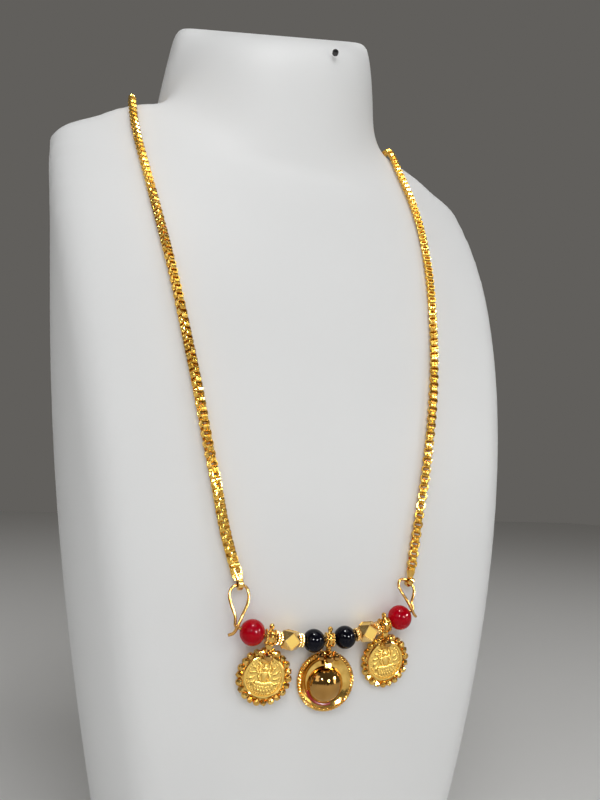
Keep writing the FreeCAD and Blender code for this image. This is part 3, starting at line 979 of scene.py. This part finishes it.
@dataclass(frozen=True)
class NeckBust:
    """White bust, its neck blended softly into the shoulders at the front."""

    voxel: float = 2.6
    neck_y: float = 52.0
    blend_z: float = 288.0
    blend_r: float = 74.0
    blend_y: float = 34.0
    blend_passes: int = 130
    levels: Sequence[tuple[int, int, int]] = ((4, 0, 2), (270, 0, 6), (246, 80, 6), (260, 83, 7),
                                              (274, 85, 9), (284, 86, 10))
    hole: Point = (19.7, -4.6, 355.0)
    hole_axis: Point = (-0.28, -0.96, 0.0)

    def in_blend(self, at: Vector) -> bool:
        """Whether a place in metres lies in the hollow in front of the neck."""
        x, y, z = at / MM
        around = math.hypot(x, y - self.neck_y)
        return z > self.blend_z and around < self.blend_r and y < self.blend_y

    @staticmethod
    def soften(bm: bmesh.types.BMesh, verts: list[bmesh.types.BMVert], passes: int) -> None:
        """Smooth some vertices a number of times."""
        for _ in range(passes):
            bmesh.ops.smooth_vert(bm, verts=verts, factor=0.5, use_axis_x=True, use_axis_y=True,
                                  use_axis_z=True)

    def build(self, finishes: Finishes) -> None:
        """Remesh a copy of the solid and soften it: more at the neck's foot and shoulder tips."""
        bm = bmesh.new()
        bm.from_mesh(bpy.data.objects["neck_bust"].data)
        bmesh.ops.remove_doubles(bm, verts=bm.verts, dist=0.00001)
        mesh = bpy.data.meshes.new("bust_shell")
        bm.to_mesh(mesh)
        bm.free()
        shell = bpy.data.objects.new("bust_shell", mesh)
        bpy.context.scene.collection.objects.link(shell)
        remesh = shell.modifiers.new("even", "REMESH")
        remesh.mode = "VOXEL"
        remesh.voxel_size = self.voxel * MM
        evaluated = shell.evaluated_get(bpy.context.evaluated_depsgraph_get())
        even = bpy.data.meshes.new_from_object(evaluated)
        shell.modifiers.clear()
        bm = bmesh.new()
        bm.from_mesh(even)
        self.soften(bm, [vert for vert in bm.verts if self.in_blend(vert.co)], self.blend_passes)
        for low, wide, passes in self.levels:
            part = [vert for vert in bm.verts
                    if vert.co.z > low * MM and abs(vert.co.x) >= wide * MM]
            self.soften(bm, part, passes)
        for face in bm.faces:
            face.smooth = True
        bm.to_mesh(mesh)
        bm.free()
        mesh.materials.clear()
        mesh.materials.append(finishes.cover)
        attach(shell, "root")
        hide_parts("neck_bust")
        LOG.info("bust_shell: %d faces", len(mesh.polygons))
        self.label_hole(finishes)

    def label_hole(self, finishes: Finishes) -> None:
        """Small drilled hole for a price label, near the top of the neck, its cup and rim painted
        near black as painted shade.
        """
        form = Form()
        form.lathe([(0, -0.6), (0.95, -0.6), (1.05, 0.35), (1.3, 0.5), (1.5, 0.3), (1.5, -1.0),
                    (0, -1.0)], self.hole, self.hole_axis, 32, closed=True)
        form.piece("label_hole", finishes.hollow, "bust_cover")


@dataclass(frozen=True)
class Lamp:
    """Area lamp: place and aim in metres, size, power and colour."""

    name: str
    at: Point
    aim: Point
    size: Pair
    power: float
    colour: Colour = (1, 1, 1)

    def build(self) -> bpy.types.Object:
        """Put the lamp in the scene."""
        data = bpy.data.lights.new(self.name, "AREA")
        data.shape, data.size, data.size_y = "RECTANGLE", *self.size
        data.energy, data.color = self.power, self.colour
        made = bpy.data.objects.new(self.name, data)
        bpy.context.scene.collection.objects.link(made)
        facing = (Vector(self.aim) - Vector(self.at)).to_track_quat("-Z", "Y")
        made.matrix_world = Matrix.Translation(self.at) @ facing.to_matrix().to_4x4()
        return made


@dataclass(frozen=True)
class Studio:
    """Camera, lights and floor."""

    eye: Point = (-95.0, -274.0, 139.5)
    yaw: float = 20.86
    pitch: float = 8.0
    roll: float = 2.1
    lens: float = 29.07
    sensor: float = 36.0
    bust_aim: Point = (0.0, -0.05, 0.18)
    row_aim: Point = (0.0, -0.065, 0.09)
    spots: Sequence[Point] = ((-0.075, -0.26, 0.86), (-0.33, -0.71, 0.41), (0.2, -0.8, 0.335),
                              (0.63, -0.48, 0.365))
    spot_size: Pair = (0.1, 0.1)
    spot_power: float = 4.2
    air: tuple[float, float, float, float] = (0.92, 0.88, 0.82, 1)
    air_strength: float = 0.13
    floor_half: float = 3.0
    floor_colour: Colour = (0.82, 0.82, 0.81)

    def camera(self) -> None:
        """Camera at the photograph's place."""
        data = bpy.data.cameras.new("photo_camera")
        data.lens, data.sensor_width, data.clip_start = self.lens, self.sensor, 0.01
        made = bpy.data.objects.new("photo_camera", data)
        bpy.context.scene.collection.objects.link(made)
        yaw, pitch, roll = (math.radians(angle) for angle in (self.yaw, self.pitch, self.roll))
        ahead = Vector((math.sin(yaw) * math.cos(pitch), math.cos(yaw) * math.cos(pitch),
                        math.sin(pitch)))
        level = Vector((math.cos(yaw), -math.sin(yaw), 0))
        over = level.cross(ahead)
        right = level * math.cos(roll) + over * math.sin(roll)
        up = over * math.cos(roll) - level * math.sin(roll)
        basis = Matrix((right, up, -ahead)).transposed().to_4x4()
        made.matrix_world = Matrix.Translation(Vector(self.eye) * MM) @ basis
        bpy.context.scene.camera = made

    def lamps(self) -> None:
        """Soft lamps for the bust, and small ones whose glints show on the beads."""
        aim = self.bust_aim
        front = Lamp("front_softbox", (-0.35, -1.3, 1.0), aim, (1.3, 1.0), 10.2).build()
        front.visible_glossy = False
        Lamp("overhead_softbox", (0.1, -0.35, 1.25), aim, (0.7, 0.7), 3.1).build()
        Lamp("left_softbox", (-1.1, -0.75, 0.75), aim, (0.5, 0.7), 1.6).build()
        Lamp("right_softbox", (1.0, -0.9, 0.35), aim, (0.3, 0.7), 1.7, (1.0, 0.98, 0.94)).build()
        for k, at in enumerate(self.spots):
            spot = Lamp(f"spot_{k}", at, self.row_aim, self.spot_size, self.spot_power).build()
            spot.visible_diffuse = False

    def build(self) -> None:
        """Set up the whole studio."""
        self.camera()
        self.lamps()
        world = bpy.data.worlds.new("studio_air")
        world.use_nodes = True
        background = world.node_tree.nodes["Background"]
        background.inputs[0].default_value = self.air
        background.inputs[1].default_value = self.air_strength
        bpy.context.scene.world = world
        bpy.context.scene.view_settings.view_transform = "Standard"
        bm = bmesh.new()
        bmesh.ops.create_grid(bm, x_segments=1, y_segments=1, size=self.floor_half)
        mesh = bpy.data.meshes.new("studio_floor")
        bm.to_mesh(mesh)
        bm.free()
        floor = bpy.data.objects.new("studio_floor", mesh)
        bpy.context.scene.collection.objects.link(floor)
        shader = Shader("pale_floor")
        mesh.materials.append(shader.close(Base_Color=(*self.floor_colour, 1.0),
                                           Roughness=0.7 + 0.1 * shader.noise(4.0)))


def main() -> None:
    """Build every sub-assembly in order."""
    logging.basicConfig(level=logging.INFO, format="%(name)s: %(message)s")
    Studio().build()
    finishes, row = Finishes(), WireRow()
    NeckBust().build(finishes)
    BoxChain().build(finishes)
    ChainEnds().build(finishes)
    RoundBeads().build(finishes)
    for side in Side:
        Spacer(side.value * 10.5, f"inner_spacer_{side.word}").build(row, finishes)
        Spacer(side.value * 18.22, f"outer_spacer_{side.word}").build(row, finishes)
        FacetedBead(side).build(row, finishes)
    CoinPendant(Side.LEFT, pitch=5.0, lean=5.0, turn=-8.0).build(row, finishes)
    CoinPendant(Side.RIGHT).build(row, finishes)
    ThaliPendant().build(row, finishes)


if __name__ == "__main__":
    main()
